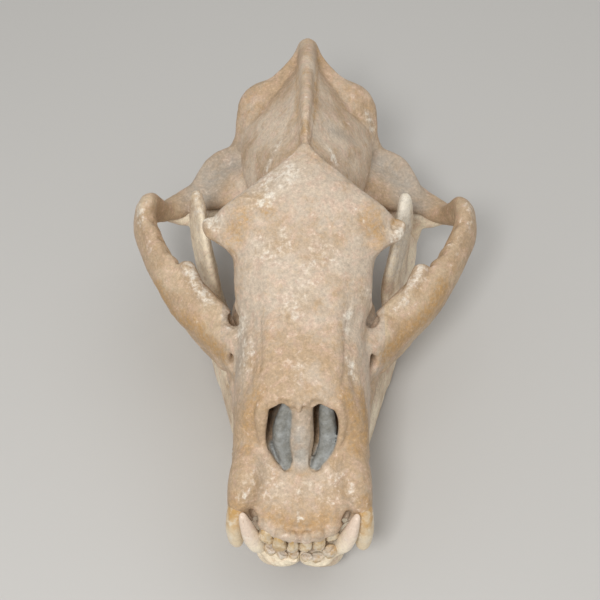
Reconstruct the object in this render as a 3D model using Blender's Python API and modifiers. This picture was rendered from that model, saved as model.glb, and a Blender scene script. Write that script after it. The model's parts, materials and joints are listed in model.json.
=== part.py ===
"""Skull of a very large male brown bear, jaws closed, resting on its lower jaw.

Sizes are millimetres. A station names a place on the skull: x is the distance to the side of
the midline, s the distance back from the upper incisors and z the height above the floor.
The snout points to -Y, so the animal's left side is +X. The origin lies on the floor under
the middle of the skull.
"""
import math

import bmesh
import bpy
import numpy as np
from mathutils import Vector

# Driving dimensions
MM = 0.001
SKULL_LENGTH = 413.3
JAW_FRONT = -3.3
MIDDLE = JAW_FRONT + SKULL_LENGTH / 2
SUTURE = 0.3
BITE_LEVEL = 66.0
BITE_GAP = 0.4
JOINT_GAP = 0.5

# How finely the bone is worked before and after it is thinned
GRAIN = 1.9
SOFTENING = 4
CRANIUM_SHARE = 0.033
JAW_SHARE = 0.020
SIDES = 20
STEPS = 6
CAP_ANGLES = (25.0, 50.0, 72.0, 86.0)
TOOTH_SIDES = 8
TOOTH_CAP_ANGLES = (60.0,)
CANINE_SIDES = 12
CANINE_CAP_ANGLES = (40.0, 75.0)

LEFT = 1
RIGHT = -1
BOTH = (LEFT, RIGHT)

# Midline profile of the skull: stations s and heights z
CROWN = ((6, 79), (14, 88), (25, 97), (40, 104), (52, 114), (63, 130), (72, 149), (90, 157),
         (120, 165), (150, 175), (180, 188), (205, 198), (226, 203))
SNOUT_WIDTH = ((6, 17), (12, 29), (20, 39), (28, 47), (36, 49), (62, 48), (88, 48), (115, 49),
               (140, 49), (165, 45), (200, 38), (226, 34))
SNOUT_BASE = ((6, 76), (40, 74), (120, 77), (200, 82), (226, 90))
SNOUT_WAIST = ((6, 77), (20, 84), (60, 92), (120, 102), (226, 108))

# Forehead: a shield whose edge runs over the orbits and back along the temporal lines
FOREHEAD_EDGE = ((112, 30), (135, 40), (165, 50), (185, 51), (197, 59), (209, 67), (220, 54),
                 (230, 38), (240, 22), (250, 9), (257, 4))
FOREHEAD_CROWN = ((112, 161), (135, 169), (165, 182), (185, 191), (209, 201), (230, 206),
                  (257, 209))
FOREHEAD_RIM = ((112, 130), (150, 138), (172, 150), (185, 161), (205, 170), (220, 180),
                (240, 195), (257, 202))
FOREHEAD_UNDERSIDE = 20.0

# Braincase: a ridge roof that carries the crest
VAULT_WIDTH = ((190, 30), (215, 36), (238, 35), (262, 40), (290, 48), (315, 53), (338, 54),
               (362, 50), (384, 34))
VAULT_CROWN = ((190, 180), (238, 199), (262, 199), (290, 196), (318, 190), (345, 182),
               (365, 174), (384, 162))
VAULT_LEVEL = ((190, 128), (262, 134), (318, 132), (384, 122))
VAULT_BASE = ((190, 98), (262, 98), (318, 96), (384, 102))

# Roof: straight slopes from the crest down to the sides of the braincase
ROOF_WIDTH = ((256, 28), (275, 34), (300, 38), (325, 40), (345, 40), (365, 36), (385, 24))
ROOF_CROWN = ((256, 202), (275, 207), (300, 208), (325, 205), (345, 201), (365, 196), (385, 188))
ROOF_EAVES = ((256, 164), (275, 160), (300, 158), (345, 154), (365, 149), (385, 144))
ROOF_BASE = ((256, 110), (385, 110))

# Stations: x, s, z, half thickness, half depth
SAGITTAL_CREST = ((0, 248, 192, 2.5, 13), (0, 275, 193, 3.5, 18), (0, 305, 191, 5.0, 20),
                  (0, 340, 185, 6.5, 21), (0, 374, 180, 7.5, 19), (0, 399, 175, 8.0, 15))
NUCHAL_CREST = ((0, 403, 178, 7.5, 9), (6, 394, 171, 6.5, 9), (17, 380, 164, 7.0, 9),
                (29, 371, 160, 7.5, 10), (41, 371, 153, 8.0, 11), (47, 368, 145, 8.5, 11),
                (49, 361, 132, 8.5, 11), (51, 355, 118, 8.5, 11), (58, 350, 104, 9.0, 11),
                (67, 348, 95, 10.0, 11))
NUCHAL_SKIRT = ((10, 384, 164, 9, 10), (24, 366, 154, 11, 11), (38, 360, 146, 11, 12),
                (44, 353, 133, 11, 12), (47, 347, 118, 10, 11))
MASTOID = ((62, 342, 100, 13, 15), (71, 344, 89, 12, 14), (76, 345, 80, 8, 10))
PAROCCIPITAL = ((48, 360, 106, 10, 12), (54, 366, 91, 8, 9), (58, 369, 80, 5, 5))
OCCIPUT = ((0, 336, 132, 46, 34), (0, 360, 132, 40, 31), (0, 377, 128, 29, 27))
CONDYLE = ((8, 380, 98, 9, 9), (20, 386, 103, 11, 11), (31, 384, 112, 9, 11),
           (34, 377, 120, 6, 8))
SKULL_FLOOR = ((0, 205, 98, 24, 10), (0, 260, 99, 25, 10), (0, 320, 97, 32, 10),
               (0, 378, 97, 22, 9))
PTERYGOID = ((22, 200, 86, 5, 12), (21, 232, 86, 4, 13), (20, 258, 86, 3.5, 13),
             (21, 276, 82, 3.0, 8))
EAR_FLOOR = ((34, 308, 92, 16, 8), (44, 332, 92, 18, 9), (54, 348, 94, 14, 9))

# Cheek: tooth row, cheek root, arch and the shelf that carries the jaw joint
SOCKET_BULGE = ((34, 62, 106, 8, 11), (36.5, 48, 103, 11, 14), (38, 37, 99, 11.5, 15),
                (41, 29, 91, 9, 12), (42.5, 25, 83, 7.5, 10))
TOOTH_ROW = ((36, 30, 84, 9, 12), (39, 62, 84, 8, 12), (42, 100, 85, 8, 12),
             (46, 130, 86, 9, 13), (49, 158, 87, 10, 13), (46, 188, 88, 10, 13),
             (42, 212, 87, 7, 9))
CHEEK_ROOT = ((38, 126, 108, 12, 24), (53, 146, 106, 13, 23), (67, 161, 103, 12, 20),
              (80, 174, 106, 11, 19))
ARCH = ((62, 160, 108, 12, 18), (80, 176, 109, 11.5, 19), (94, 191, 112, 10.5, 19),
        (107, 209, 116, 9.5, 17), (118, 229, 120, 9, 16), (126, 249, 125, 8.5, 17),
        (127, 262, 127, 8, 17), (123, 275, 115, 8, 12), (115, 287, 101, 8, 8),
        (101, 298, 96, 8, 7))
ARCH_LEAN = 16.0
JUGAL_EDGE = ((58, 165, 120, 6, 8), (72, 180, 120, 6.5, 10), (85, 195, 120, 6.5, 10))
JUGAL_PROCESS = ((86, 194, 118, 9, 13), (88, 200, 126, 6.5, 9), (90, 204, 132, 4, 5))
ORBIT_PROCESS = ((50, 196, 172, 12, 9), (62, 203, 171, 8, 7), (72, 209, 170, 4.5, 4))
JOINT_SHELF = ((114, 291, 99, 6.5, 9), (102, 302, 95, 7, 13), (86, 311, 97, 8, 18),
               (66, 316, 102, 9, 24), (48, 318, 108, 10, 28))
SHELF_RIM = ((119, 280, 110, 5.5, 7), (110, 291, 98, 5.5, 7), (102, 298, 93, 6, 7),
             (95, 309, 95, 6, 9), (88, 325, 99, 6.5, 10), (77, 340, 104, 7.5, 11),
             (62, 349, 103, 8, 12))
SHELF_BACK = ((108, 309, 90, 4.5, 9), (90, 312, 88, 5, 11), (68, 314, 88, 5, 11))

# Openings
APERTURE = ((0, 26, 124.5, 28, 20), (0, 50, 124.5, 30, 20.5), (0, 74, 124.5, 30, 20.5),
            (0, 112, 120, 25, 18), (0, 140, 114, 18, 11))
SEPTUM = 8.0
NOSTRIL_RECESS = ((0, 45, 108, 11, 4), (0, 53, 120, 20, 8), (0, 60, 131, 21, 9),
                  (0, 66, 141, 15, 7), (0, 69, 147, 5, 3))
THROAT = ((0, 214, 82, 15, 9), (0, 250, 80, 16, 12), (0, 290, 74, 17, 14))
PALATE = ((0, 14, 72, 20, 5), (0, 40, 70, 26, 9), (0, 120, 70, 31, 11), (0, 180, 70, 32, 12),
          (0, 232, 72, 30, 11))
CORD_HOLE = ((0, 330, 124, 17, 13), (0, 372, 118, 16, 12), (0, 400, 110, 18, 14))
INFRAORBITAL = ((60, 112, 112, 5, 7), (50, 128, 115, 4.5, 7), (44, 150, 119, 4, 5))
EAR_HOLE = ((92, 334, 98, 5, 5), (66, 332, 100, 5, 5), (52, 330, 102, 4, 4))

# Jaw joint: a roller that lies across the skull in its socket
JOINT_ROLL = ((64, 296, 86, 5, 5), (76, 297, 86.5, 8.5, 8.5), (92, 297, 87, 9, 9),
              (106, 296, 87, 8, 8), (114, 295, 87, 5, 5))

# Lower jaw
JAW_BODY = ((9, 4, 52, 12, 6), (12, 12, 46, 17, 13), (15, 22, 39, 19, 19),
            (16, 36, 34, 19, 24), (17, 52, 30, 18, 28), (26, 72, 29, 13.5, 29),
            (36, 98, 28.5, 10.5, 30), (45, 126, 28, 10, 30), (54, 156, 30, 10, 29),
            (63, 186, 34, 10, 31), (72, 214, 39, 9.5, 33), (79, 238, 44, 8, 34))
RAMUS = ((72, 236, 32, 8, 44), (77, 242, 52, 7.5, 45), (79, 243, 74, 6.5, 42),
         (80, 243, 98, 5.5, 32), (82, 247, 122, 4.5, 22), (83, 255, 142, 3.6, 12),
         (84, 260, 151, 2.6, 4))
JAW_NECK = ((80, 262, 52, 6.5, 17), (86, 279, 68, 6.5, 13), (90, 291, 79, 8, 8))
JAW_ANGLE = ((75, 240, 32, 7, 25), (81, 262, 25, 7, 24), (87, 282, 17, 6.5, 19.5),
             (91, 296, 15, 5, 13.5), (93, 305, 19, 3.5, 7))
JAW_COURSE = (0.30, 0.954, 0.0)
MASSETER_PIT = ((93, 222, 62, 9, 18), (94, 240, 66, 10, 25), (96, 258, 58, 8, 18))

# Teeth. Canines are stations, the others are x, s, length, breadth, cusps and turn of the row
UPPER_GUM = 75.0
INCISOR_GUM = 78.0
LOWER_GUM = 57.0
ROOT_DEPTH = 7.0
EDGE_BLUNTNESS = 0.4
CUSP_WEAR = 0.8
INCISOR_WEAR = 0.9
NOTCH_ROOM = 2.6
UPPER_CANINE = ((38, 40, 104, 6, 9), (42, 30, 90, 6.5, 10.5), (44.5, 22, 76, 6, 9.5),
                (44.5, 15, 62, 5.3, 7.5), (42.8, 11.5, 54, 4.3, 5.0))
LOWER_CANINE = ((24, 30, 36, 5.5, 9), (27, 17, 50, 5.5, 9), (30, 11, 62, 5, 8),
                (33.3, 10, 75, 4.2, 6.5), (36.5, 14, 90, 2.8, 3.6))
UPPER_INCISORS = ((4.4, 5.5, 8.0, 8.0, 1, 90), (13.2, 7.5, 8.5, 8.5, 1, 72),
                  (22.0, 12.5, 9.0, 9.0, 1, 50))
LOWER_INCISORS = ((4.2, 0.5, 7.0, 7.0, 1, 90), (11.6, 2.0, 7.5, 7.5, 1, 75),
                  (19.4, 6.5, 8.5, 8.5, 1, 55))
UPPER_CHEEK = ((37, 66, 6, 5, 1, 8), (44, 128, 17, 11, 2, 10), (47, 151, 23, 16, 2, 4),
               (45, 184, 39, 18, 3, -6))
LOWER_CHEEK = ((33, 78, 6, 5, 1, 20), (41, 119, 13, 8, 1, 15), (44, 141, 24, 11, 3, 10),
               (48, 166, 25, 14, 2, 12), (53, 188, 17, 13, 1, 15))

# Cuts: sutures between the bones and the level of the floor
ARCH_CUT = 60.0
SHELF_CUT = 103.0
SKULL_CUTS = ((186, 123, 72, -114, 60), (243, 151, 30, 122, 60), (352, 138, 40, 125, 100))
FLOOR_BLOCK = 100.0

# Colours, linear
BONE = (0.60, 0.47, 0.34, 1.0)
CROWN_BONE = (0.50, 0.38, 0.26, 1.0)
ARCH_BONE = (0.66, 0.53, 0.38, 1.0)
JAW_BONE = (0.62, 0.51, 0.39, 1.0)
ROUGHNESS = 0.7


def follow(keys, at):
    """Value at each place on a smooth line through (place, value) keys, with no overshoot."""
    places, values = (np.array(column, float) for column in zip(*keys))
    runs = np.diff(places)
    rises = np.diff(values) / runs
    slopes = np.concatenate(([rises[0]], (rises[:-1] + rises[1:]) / 2, [rises[-1]]))
    for i in range(1, len(slopes) - 1):
        if rises[i - 1] * rises[i] <= 0:
            slopes[i] = 0.0
        else:
            limit = 3 * min(abs(rises[i - 1]), abs(rises[i]))
            slopes[i] = math.copysign(min(abs(slopes[i]), limit), rises[i])
    at = np.clip(np.asarray(at, float), places[0], places[-1])
    span = np.clip(np.searchsorted(places, at, side="right") - 1, 0, len(runs) - 1)
    t = (at - places[span]) / runs[span]
    rise = values[span + 1] - values[span]
    start, end = slopes[span] * runs[span], slopes[span + 1] * runs[span]
    return (values[span] + t * start + t**2 * (3 * rise - 2 * start - end)
            + t**3 * (start + end - 2 * rise))


def place(x, s, z):
    """Point of the model at a station."""
    return Vector((x, s - MIDDLE, z)) * MM


def bend(value, squareness):
    """Sine or cosine drawn out towards a rounded square."""
    return math.copysign(abs(value) ** (2 / squareness), value)


def skin(collection, name, rings):
    """Closed object over rings of points, its two ends filled."""
    work = bmesh.new()
    loops = [[work.verts.new(point) for point in ring] for ring in rings]
    count = len(loops[0])
    for near, far in zip(loops, loops[1:]):
        for i in range(count):
            after = (i + 1) % count
            work.faces.new((near[i], near[after], far[after], far[i]))
    for end in (loops[0], loops[-1]):
        hub = work.verts.new(sum((vert.co for vert in end), Vector()) / count)
        for i in range(count):
            work.faces.new((end[i], end[(i + 1) % count], hub))
    bmesh.ops.recalc_face_normals(work, faces=work.faces)
    mesh = bpy.data.meshes.new(name)
    work.to_mesh(mesh)
    work.free()
    made = bpy.data.objects.new(name, mesh)
    collection.objects.link(made)
    return made


def limb(collection, name, stations, side=LEFT, toward=(0, 0, 1), lean=0.0,
         squareness=2.0, sides=SIDES, steps=STEPS, caps=CAP_ANGLES, bluntness=1.0):
    """Closed limb with rounded ends through stations of x, s, z, half thickness, half depth.

    The depth of its oval sections lies toward the given direction, turned by the lean.
    """
    keys = [[(i, station[c]) for i, station in enumerate(stations)] for c in range(5)]
    places = np.linspace(0, len(stations) - 1, steps * (len(stations) - 1) + 1)
    x, s, z, thick, deep = (follow(column, places) for column in keys)
    points = [place(side * a, b, c) for a, b, c in zip(x, s, z)]
    depth_line = Vector((side * toward[0], toward[1], toward[2]))
    rings = []

    def ring(i, reach, shrink):
        along = (points[min(i + 1, len(points) - 1)] - points[max(i - 1, 0)]).normalized()
        deep_axis = (depth_line - depth_line.dot(along) * along).normalized()
        thick_axis = along.cross(deep_axis)
        turn = math.radians(lean * side)
        deep_axis, thick_axis = (math.cos(turn) * deep_axis - math.sin(turn) * thick_axis,
                                 math.sin(turn) * deep_axis + math.cos(turn) * thick_axis)
        round_end = min(thick[i], deep[i]) * MM * reach * bluntness
        centre = points[i] + along * round_end
        for_thick, for_deep = thick[i] * shrink * MM, deep[i] * shrink * MM
        angles = [2 * math.pi * k / sides for k in range(sides)]
        rings.append([centre + thick_axis * for_thick * bend(math.cos(a), squareness)
                      + deep_axis * for_deep * bend(math.sin(a), squareness) for a in angles])

    for angle in reversed(caps):
        ring(0, -math.sin(math.radians(angle)), math.cos(math.radians(angle)))
    for i in range(len(points)):
        ring(i, 0.0, 1.0)
    for angle in caps:
        ring(len(points) - 1, math.sin(math.radians(angle)), math.cos(math.radians(angle)))
    return skin(collection, name, rings)


def hull(collection, name, width, crown, level, base, above, below, spacing=4.0):
    """Closed body along the midline from the half widths and heights of its sections.

    The sections are squarer or rounder above and below their widest level.
    """
    first, last = width[0][0], width[-1][0]
    stations = np.linspace(first, last, int((last - first) / spacing) + 2)
    sides = 2 * SIDES
    rings = []
    for s, w, top, mid, low in zip(stations, follow(width, stations), follow(crown, stations),
                                   follow(level, stations), follow(base, stations)):
        ring = []
        for k in range(sides):
            angle = 2 * math.pi * k / sides
            squareness = above if math.sin(angle) > 0 else below
            rise = bend(math.sin(angle), squareness)
            height = mid + rise * ((top - mid) if rise > 0 else (mid - low))
            ring.append(place(w * bend(math.cos(angle), squareness), s, height))
        rings.append(ring)
    return skin(collection, name, rings)


def grown(stations, growth):
    """The same stations with a limb thicker by a growth all round."""
    return tuple((x, s, z, thick + growth, deep + growth) for x, s, z, thick, deep in stations)


def new_collection(name):
    collection = bpy.data.collections.new(name)
    bpy.context.scene.collection.children.link(collection)
    return collection


def settle(made):
    """Apply every modifier of an object."""
    graph = bpy.context.evaluated_depsgraph_get()
    mesh = bpy.data.meshes.new_from_object(made.evaluated_get(graph))
    made.modifiers.clear()
    made.data = mesh


def combine(made, tools, operation):
    """One Boolean of an object with a whole collection, which is then removed."""
    if tools.objects:
        modifier = made.modifiers.new(operation.title(), "BOOLEAN")
        modifier.operation = operation
        modifier.operand_type = "COLLECTION"
        modifier.collection = tools
        modifier.solver = "MANIFOLD"
        settle(made)
    for tool in list(tools.objects):
        bpy.data.objects.remove(tool)
    bpy.data.collections.remove(tools)


def work_surface(made, share):
    """Blend the joined forms into one even bone surface, then thin its mesh."""
    blend = made.modifiers.new("Blend", "REMESH")
    blend.mode = "VOXEL"
    blend.voxel_size = GRAIN * MM
    soften = made.modifiers.new("Soften", "SMOOTH")
    soften.iterations = SOFTENING
    thin = made.modifiers.new("Thin", "DECIMATE")
    thin.ratio = share
    settle(made)


def islands(made):
    """Closed surfaces of an object, each a list of faces, largest volume first."""
    work = bmesh.new()
    work.from_mesh(made.data)
    bmesh.ops.triangulate(work, faces=work.faces)
    todo = set(work.faces)
    found = []
    while todo:
        seed = todo.pop()
        group, edge_of_group = [seed], [seed]
        while edge_of_group:
            face = edge_of_group.pop()
            for edge in face.edges:
                for other in edge.link_faces:
                    if other in todo:
                        todo.remove(other)
                        group.append(other)
                        edge_of_group.append(other)
        found.append(group)
    found.sort(key=volume, reverse=True)
    return work, found


def volume(faces):
    return abs(sum(a.co.dot(b.co.cross(c.co)) for a, b, c in (face.verts for face in faces))) / 6


def keep(collection, name, faces, colour):
    """One closed surface as a finished, named piece of bone."""
    numbers = {}
    for face in faces:
        for vert in face.verts:
            numbers.setdefault(vert, len(numbers))
    mesh = bpy.data.meshes.new(name)
    mesh.from_pydata([vert.co[:] for vert in numbers], [],
                     [[numbers[vert] for vert in face.verts] for face in faces])
    material = bpy.data.materials.new(name)
    material.use_nodes = True
    surface = material.node_tree.nodes["Principled BSDF"]
    surface.inputs["Base Color"].default_value = colour
    surface.inputs["Roughness"].default_value = ROUGHNESS
    mesh.materials.append(material)
    piece = bpy.data.objects.new(name, mesh)
    collection.objects.link(piece)
    return piece


def block(collection, name, low, high, side):
    """Closed box between two stations, mirrored for the other side."""
    rings = [[place(side * x, s, z) for x, z in ((low[0], low[2]), (high[0], low[2]),
                                                 (high[0], high[2]), (low[0], high[2]))]
             for s in (low[1], high[1])]
    return skin(collection, name, rings)


def slab(collection, name, middle, across, up, half_width, half_height):
    """Thin flat cutter for a suture, round a station and spanned by two directions."""
    across, up = Vector(across).normalized(), Vector(up).normalized()
    normal = across.cross(up)
    centre = place(*middle)
    rings = []
    for end in (-1, 1):
        offset = centre + normal * (end * SUTURE / 2 * MM)
        rings.append([offset + (across * half_width * i + up * half_height * j) * MM
                      for i, j in ((-1, -1), (1, -1), (1, 1), (-1, 1))])
    return skin(collection, name, rings)


def canine(collection, stations, side):
    limb(collection, "canine", stations, side, toward=(0, 1, 0), sides=CANINE_SIDES, steps=2,
         caps=CANINE_CAP_ANGLES)


def tooth_row(collection, name, row, gum, bite, wear, side):
    """Teeth with their roots sunk in the gum line, each a run of fused cusps."""
    down = math.copysign(1, gum - bite)
    for number, (x, s, length, breadth, cusps, turn) in enumerate(row):
        course = (math.sin(math.radians(turn)), math.cos(math.radians(turn)), 0)
        long, thick = length / cusps * 0.6, breadth / 2
        for i in range(cusps):
            back = (i - (cusps - 1) / 2) * length / cusps
            edge = bite + down * (wear * ((number + i) % 2) + EDGE_BLUNTNESS * min(long, thick))
            at = (x + back * course[0], s + back * course[1])
            levels = ((gum + down * ROOT_DEPTH, 0.75), (gum, 0.9),
                      ((gum + edge) / 2, 1.0), (edge, 0.85))
            stations = tuple((*at, z, thick * share, long * share) for z, share in levels)
            limb(collection, name, stations, side, toward=course, squareness=2.4,
                 sides=TOOTH_SIDES, steps=1, caps=TOOTH_CAP_ANGLES, bluntness=EDGE_BLUNTNESS)


def cranium():
    forms = new_collection("Cranium forms")
    whole = hull(forms, "cranium", SNOUT_WIDTH, CROWN, SNOUT_WAIST, SNOUT_BASE, 2.25, 3.0)
    forms.objects.unlink(whole)
    bpy.context.scene.collection.objects.link(whole)
    underside = tuple((s, z - FOREHEAD_UNDERSIDE) for s, z in FOREHEAD_RIM)
    hull(forms, "forehead", FOREHEAD_EDGE, FOREHEAD_CROWN, FOREHEAD_RIM, underside, 2.2, 2.2)
    hull(forms, "vault", VAULT_WIDTH, VAULT_CROWN, VAULT_LEVEL, VAULT_BASE, 1.45, 2.2)
    hull(forms, "roof", ROOF_WIDTH, ROOF_CROWN, ROOF_EAVES, ROOF_BASE, 1.0, 2.2)
    limb(forms, "sagittal crest", SAGITTAL_CREST, squareness=2.6)
    limb(forms, "occiput", OCCIPUT, squareness=2.2)
    limb(forms, "floor", SKULL_FLOOR, squareness=2.4)
    for side in BOTH:
        limb(forms, "nuchal crest", NUCHAL_CREST, side, toward=(1, 0, 1))
        limb(forms, "nuchal skirt", NUCHAL_SKIRT, side, toward=(1, 0, 1))
        limb(forms, "mastoid", MASTOID, side, toward=(0, 1, 0))
        limb(forms, "paroccipital", PAROCCIPITAL, side, toward=(0, 1, 0))
        limb(forms, "condyle", CONDYLE, side, toward=(0, 1, 0))
        limb(forms, "pterygoid", PTERYGOID, side)
        limb(forms, "ear floor", EAR_FLOOR, side)
        limb(forms, "socket bulge", SOCKET_BULGE, side, toward=(0, 1, 0))
        limb(forms, "tooth row", TOOTH_ROW, side, squareness=2.4)
        limb(forms, "cheek root", CHEEK_ROOT, side)
        limb(forms, "arch", ARCH, side, lean=ARCH_LEAN)
        limb(forms, "jugal edge", JUGAL_EDGE, side)
        limb(forms, "jugal process", JUGAL_PROCESS, side, toward=(0, 1, 0))
        limb(forms, "orbit process", ORBIT_PROCESS, side)
        limb(forms, "joint shelf", JOINT_SHELF, side, toward=(0, 1, 0))
        limb(forms, "shelf rim", SHELF_RIM, side)
        limb(forms, "shelf back", SHELF_BACK, side)
    combine(whole, forms, "UNION")

    openings = new_collection("Cranium openings")
    limb(openings, "throat", THROAT, squareness=2.6)
    limb(openings, "palate", PALATE, squareness=2.2)
    limb(openings, "cord hole", CORD_HOLE)
    aperture = limb(openings, "aperture", APERTURE, squareness=2.3)
    septum = new_collection("Septum")
    block(septum, "septum", (-SEPTUM, 0, 0), (SEPTUM, SKULL_LENGTH, SKULL_LENGTH), LEFT)
    combine(aperture, septum, "DIFFERENCE")
    limb(openings, "nostril recess", NOSTRIL_RECESS, toward=(0, 1, 0))
    for side in BOTH:
        limb(openings, "infraorbital", INFRAORBITAL, side)
        limb(openings, "ear hole", EAR_HOLE, side)
        limb(openings, "bite notch", grown(LOWER_CANINE, NOTCH_ROOM), side, toward=(0, 1, 0))
    combine(whole, openings, "DIFFERENCE")
    work_surface(whole, CRANIUM_SHARE)

    sockets = new_collection("Sockets")
    for side in BOTH:
        limb(sockets, "joint socket", grown(JOINT_ROLL, JOINT_GAP), side, sides=CANINE_SIDES,
             steps=1, caps=CANINE_CAP_ANGLES)
        limb(sockets, "bite notch", grown(LOWER_CANINE, 2 * JOINT_GAP), side, toward=(0, 1, 0))
    combine(whole, sockets, "DIFFERENCE")

    teeth = new_collection("Upper teeth")
    for side in BOTH:
        canine(teeth, UPPER_CANINE, side)
        bite = BITE_LEVEL + BITE_GAP / 2
        tooth_row(teeth, "incisor", UPPER_INCISORS, INCISOR_GUM, bite, INCISOR_WEAR, side)
        tooth_row(teeth, "molar", UPPER_CHEEK, UPPER_GUM, bite, CUSP_WEAR, side)
    combine(whole, teeth, "UNION")

    sutures = new_collection("Sutures")
    for side in BOTH:
        slab(sutures, "cheek suture", (side * ARCH_CUT, 165, 110), (0, 1, 0), (0, 0, 1), 50, 34)
        slab(sutures, "joint suture", (side * SHELF_CUT, 298, 108), (0, 1, 0), (0, 0, 1), 36, 38)
    for s, z, back, rise, reach in SKULL_CUTS:
        slab(sutures, "skull suture", (0, s, z), (1, 0, 0), (0, back, rise), reach, 100)
    combine(whole, sutures, "DIFFERENCE")
    return whole


def half_jaw(side):
    name = "mandible_left" if side == LEFT else "mandible_right"
    forms = new_collection("Jaw forms")
    jaw = limb(forms, name, JAW_BODY, side, squareness=2.5)
    forms.objects.unlink(jaw)
    bpy.context.scene.collection.objects.link(jaw)
    limb(forms, "ramus", RAMUS, side, toward=JAW_COURSE, squareness=2.4)
    limb(forms, "neck", JAW_NECK, side, toward=JAW_COURSE)
    limb(forms, "angle", JAW_ANGLE, side)
    combine(jaw, forms, "UNION")

    hollows = new_collection("Jaw hollows")
    limb(hollows, "masseter pit", MASSETER_PIT, side)
    combine(jaw, hollows, "DIFFERENCE")
    work_surface(jaw, JAW_SHARE)

    teeth = new_collection("Lower teeth")
    bite = BITE_LEVEL - BITE_GAP / 2
    limb(teeth, "joint roll", JOINT_ROLL, side, sides=CANINE_SIDES, steps=1,
         caps=CANINE_CAP_ANGLES)
    canine(teeth, LOWER_CANINE, side)
    tooth_row(teeth, "incisor", LOWER_INCISORS, LOWER_GUM, bite, INCISOR_WEAR, side)
    tooth_row(teeth, "molar", LOWER_CHEEK, LOWER_GUM, bite, CUSP_WEAR, side)
    combine(jaw, teeth, "UNION")

    cuts = new_collection("Jaw cuts")
    block(cuts, "floor", (-FLOOR_BLOCK, -FLOOR_BLOCK, -FLOOR_BLOCK),
          (FLOOR_BLOCK * 2, SKULL_LENGTH, 0), side)
    block(cuts, "chin suture", (-FLOOR_BLOCK, -FLOOR_BLOCK, -FLOOR_BLOCK),
          (SUTURE / 2, SKULL_LENGTH, FLOOR_BLOCK), side)
    combine(jaw, cuts, "DIFFERENCE")
    return jaw


def name_of(faces):
    """Which bone of the cranium a closed surface is, from where its middle lies."""
    centre = sum((face.calc_center_median() for face in faces), Vector()) / len(faces) / MM
    if abs(centre.x) > ARCH_CUT:
        return "zygomatic_arch_left" if centre.x > 0 else "zygomatic_arch_right"
    bones = ("snout", "forehead", "braincase", "occiput")
    back = centre.y + MIDDLE
    cuts = [s + (centre.z - z) * run / rise for s, z, run, rise, _ in SKULL_CUTS]
    return bones[sum(back > cut for cut in cuts)]


for leftover in list(bpy.data.objects):
    bpy.data.objects.remove(leftover)
SKULL = new_collection("bear_skull")
COLOURS = {"snout": BONE, "forehead": BONE, "braincase": CROWN_BONE, "occiput": CROWN_BONE,
           "zygomatic_arch_left": ARCH_BONE, "zygomatic_arch_right": ARCH_BONE}

whole_cranium = cranium()
surfaces, pieces = islands(whole_cranium)
made_bones = set()
for piece in pieces:
    bone = name_of(piece)
    if bone not in made_bones:
        made_bones.add(bone)
        keep(SKULL, bone, piece, COLOURS[bone])
surfaces.free()
bpy.data.objects.remove(whole_cranium)

for jaw_side in BOTH:
    whole_jaw = half_jaw(jaw_side)
    surfaces, pieces = islands(whole_jaw)
    jaw_name = whole_jaw.name
    bpy.data.objects.remove(whole_jaw)
    keep(SKULL, jaw_name, pieces[0], JAW_BONE)
    surfaces.free()
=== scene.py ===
"""Skull of a very large male brown bear, seen from the front and above.

Sizes are millimetres unless a line says metres. A station names a place on the skull: x is the
distance to the side of the midline, s the distance back from the upper incisors and z the height
above the floor. The snout points to -Y and the animal's left side is +X.
"""
import json
import math

import bmesh
import bpy
import numpy as np
from mathutils import Matrix, Vector
from mathutils.bvhtree import BVHTree

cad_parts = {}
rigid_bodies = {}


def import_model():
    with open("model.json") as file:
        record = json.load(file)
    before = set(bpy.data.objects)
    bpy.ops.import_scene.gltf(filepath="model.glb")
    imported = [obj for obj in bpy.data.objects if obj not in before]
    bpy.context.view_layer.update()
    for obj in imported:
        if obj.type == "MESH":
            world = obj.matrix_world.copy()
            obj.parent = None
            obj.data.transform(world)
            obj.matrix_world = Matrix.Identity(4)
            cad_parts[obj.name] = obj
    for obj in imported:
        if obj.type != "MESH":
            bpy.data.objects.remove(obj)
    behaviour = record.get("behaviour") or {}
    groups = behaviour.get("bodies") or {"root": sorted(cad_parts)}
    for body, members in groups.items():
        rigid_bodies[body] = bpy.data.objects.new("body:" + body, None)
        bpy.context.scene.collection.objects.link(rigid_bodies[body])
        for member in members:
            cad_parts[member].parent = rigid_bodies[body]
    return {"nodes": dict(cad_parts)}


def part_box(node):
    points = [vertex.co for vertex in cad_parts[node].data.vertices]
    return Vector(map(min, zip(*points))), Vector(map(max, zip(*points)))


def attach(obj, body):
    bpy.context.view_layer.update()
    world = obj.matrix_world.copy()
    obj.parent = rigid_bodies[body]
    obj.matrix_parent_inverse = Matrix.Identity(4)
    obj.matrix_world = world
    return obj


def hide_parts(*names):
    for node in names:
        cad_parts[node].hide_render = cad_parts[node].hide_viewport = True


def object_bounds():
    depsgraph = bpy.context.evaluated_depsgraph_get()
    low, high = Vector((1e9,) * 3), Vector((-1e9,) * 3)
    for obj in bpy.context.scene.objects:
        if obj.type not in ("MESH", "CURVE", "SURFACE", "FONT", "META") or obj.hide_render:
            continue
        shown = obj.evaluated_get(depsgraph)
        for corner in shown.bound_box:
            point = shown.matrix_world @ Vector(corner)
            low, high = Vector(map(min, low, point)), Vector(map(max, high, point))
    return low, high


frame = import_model()
CAD_LOW, CAD_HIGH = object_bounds()

MM = 0.001
MIDDLE = 203.35  # the station at the origin
GRAIN = 1.1  # the voxel that bone is skinned with
SEAM = 0.35  # how far the solids grow, so that the gaps between them close
LEFT = 1
RIGHT = -1
BOTH = (LEFT, RIGHT)
SIDE_NAMES = {LEFT: "left", RIGHT: "right"}
CRANIUM_NODES = ("snout", "forehead", "braincase", "occiput", "zygomatic_arch_left",
                 "zygomatic_arch_right")


# Pieces

def place(x, s, z):
    """The point in metres of a station."""
    return Vector((x, s - MIDDLE, z)) * MM


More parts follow.
